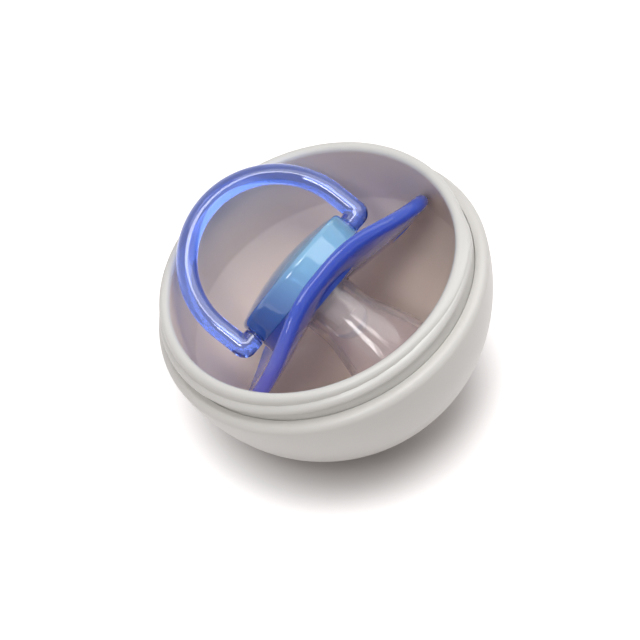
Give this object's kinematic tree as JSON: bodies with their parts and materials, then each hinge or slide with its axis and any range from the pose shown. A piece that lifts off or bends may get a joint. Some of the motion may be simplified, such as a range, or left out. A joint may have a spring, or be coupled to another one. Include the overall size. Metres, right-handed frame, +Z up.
{
  "type": "pacifier sterilizer case",
  "caption": "Open ball-shaped case with a threaded neck and a cup liner, holding a pacifier with a saddle shield, hollow teat and folding ring handle.",
  "frame": {"origin": "centre of the flat foot under the case", "axes": "+Z up from the floor; the mouth of the case leans towards -X; -Y is the side that faces the camera"},
  "size_m": [0.0635, 0.0657, 0.0474],
  "materials": {
    "shell_plastic": "fine satin off-white",
    "cup_plastic": "satin off-white, slightly shiny inside",
    "shield_plastic": "polished translucent royal blue",
    "teat_silicone": "clear soft silicone",
    "plug_plastic": "clear hard plastic",
    "hub_plastic": "polished translucent light blue",
    "ring_plastic": "polished translucent blue-violet"
  },
  "bodies": {
    "case": {"outer_shell": "shell_plastic", "inner_cup": "cup_plastic"},
    "pacifier": {"shield": "shield_plastic", "teat": "teat_silicone", "teat_plug": "plug_plastic", "hub_cap": "hub_plastic"},
    "handle": {"ring_handle": "ring_plastic"}
  },
  "joints": [
    {"name": "pacifier_lift", "type": "slide", "parent": "case", "child": "pacifier", "axis": [-0.3123, 0, 0.95], "range_m": [0, 0.06]},
    {"name": "handle_swing", "type": "hinge", "parent": "pacifier", "child": "handle", "pos_m": [-0.00398, 0.00383, 0.02951], "axis": [0.6293, 0.7138, 0.3074], "range_deg": [0, 96]}
  ]
}
